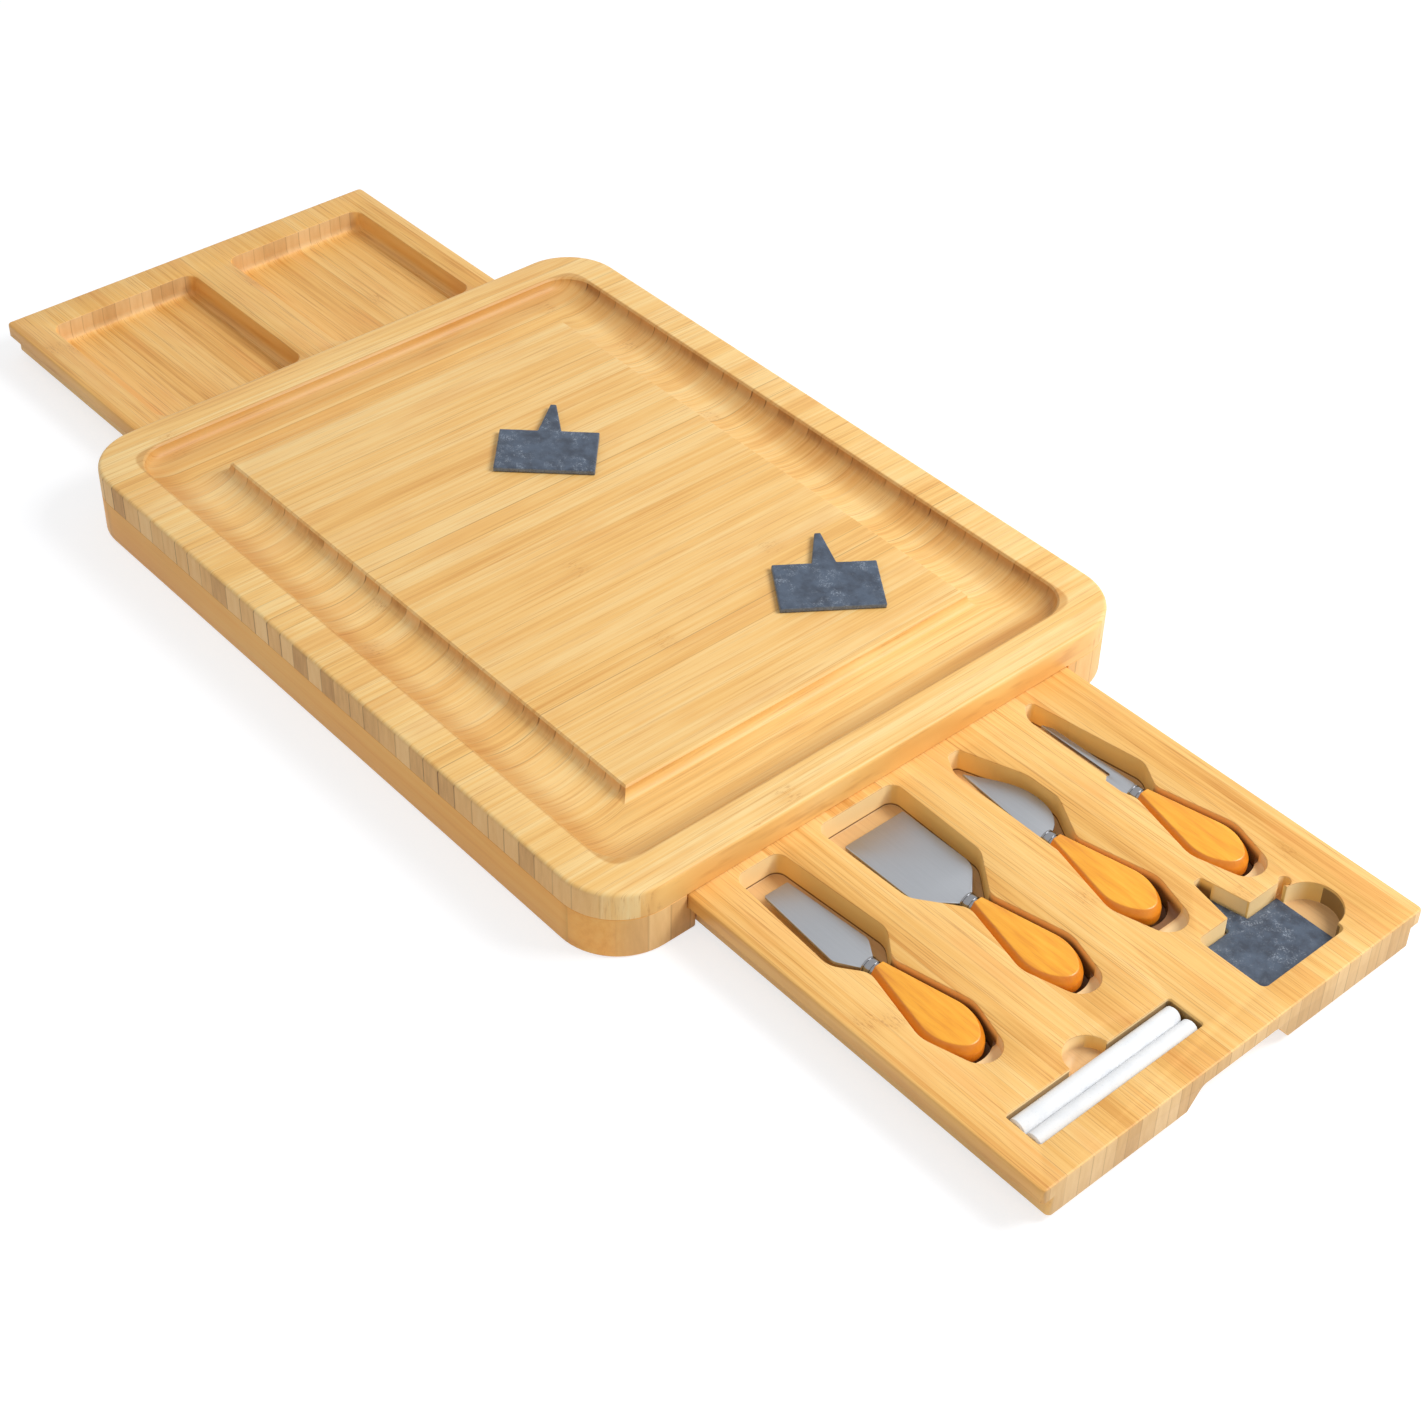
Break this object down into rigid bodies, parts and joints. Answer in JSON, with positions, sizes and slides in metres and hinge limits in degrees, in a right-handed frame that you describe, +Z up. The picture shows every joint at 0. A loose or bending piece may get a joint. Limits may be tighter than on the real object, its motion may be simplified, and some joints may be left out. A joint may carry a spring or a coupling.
{
  "type": "cheese board with drawers",
  "caption": "Thick bamboo serving board with a channel round its top and a drawer at each end, for knives, chalk and markers and for snacks.",
  "frame": {"origin": "centre of the bounding box's base, on the table, with both drawers pulled out", "axes": "+X the way the knife drawer pulls out, along the board's length, and +Z up"},
  "size_m": [0.793, 0.328, 0.041],
  "materials": {
    "bamboo_top": "laminated bamboo, oiled",
    "bamboo_rail": "laminated bamboo, oiled",
    "bamboo_drawer": "laminated bamboo, oiled",
    "handle_wood": "satin varnish",
    "blade_steel": "polished",
    "ferrule_steel": "polished",
    "chalk": "chalk, matte",
    "slate": "riven slate, matte"
  },
  "bodies": {
    "board": {"platter_top": "bamboo_top", "near_rail": "bamboo_rail", "far_rail": "bamboo_rail", "centre_stop": "bamboo_rail"},
    "knife_drawer_body": {"knife_drawer": "bamboo_drawer", "chisel_blade": "blade_steel", "chisel_ferrule": "ferrule_steel", "chisel_handle": "handle_wood", "spade_blade": "blade_steel", "spade_ferrule": "ferrule_steel", "spade_handle": "handle_wood", "pointed_blade": "blade_steel", "pointed_ferrule": "ferrule_steel", "pointed_handle": "handle_wood", "fork_blade": "blade_steel", "fork_ferrule": "ferrule_steel", "fork_handle": "handle_wood", "front_chalk": "chalk", "back_chalk": "chalk", "stored_marker": "slate"},
    "snack_drawer_body": {"snack_drawer": "bamboo_drawer"},
    "front_marker_body": {"front_marker": "slate"},
    "back_marker_body": {"back_marker": "slate"}
  },
  "joints": [
    {"name": "knife_drawer_slide", "type": "slide", "parent": "board", "child": "knife_drawer_body", "axis": [1, 0, 0], "range_m": [-0.21, 0]},
    {"name": "snack_drawer_slide", "type": "slide", "parent": "board", "child": "snack_drawer_body", "axis": [-1, 0, 0], "range_m": [-0.153, 0]},
    {"name": "front_marker_lift", "type": "slide", "parent": "board", "child": "front_marker_body", "axis": [0, 0, 1], "range_m": [0, 0.08]},
    {"name": "back_marker_lift", "type": "slide", "parent": "board", "child": "back_marker_body", "axis": [0, 0, 1], "range_m": [0, 0.08]}
  ]
}
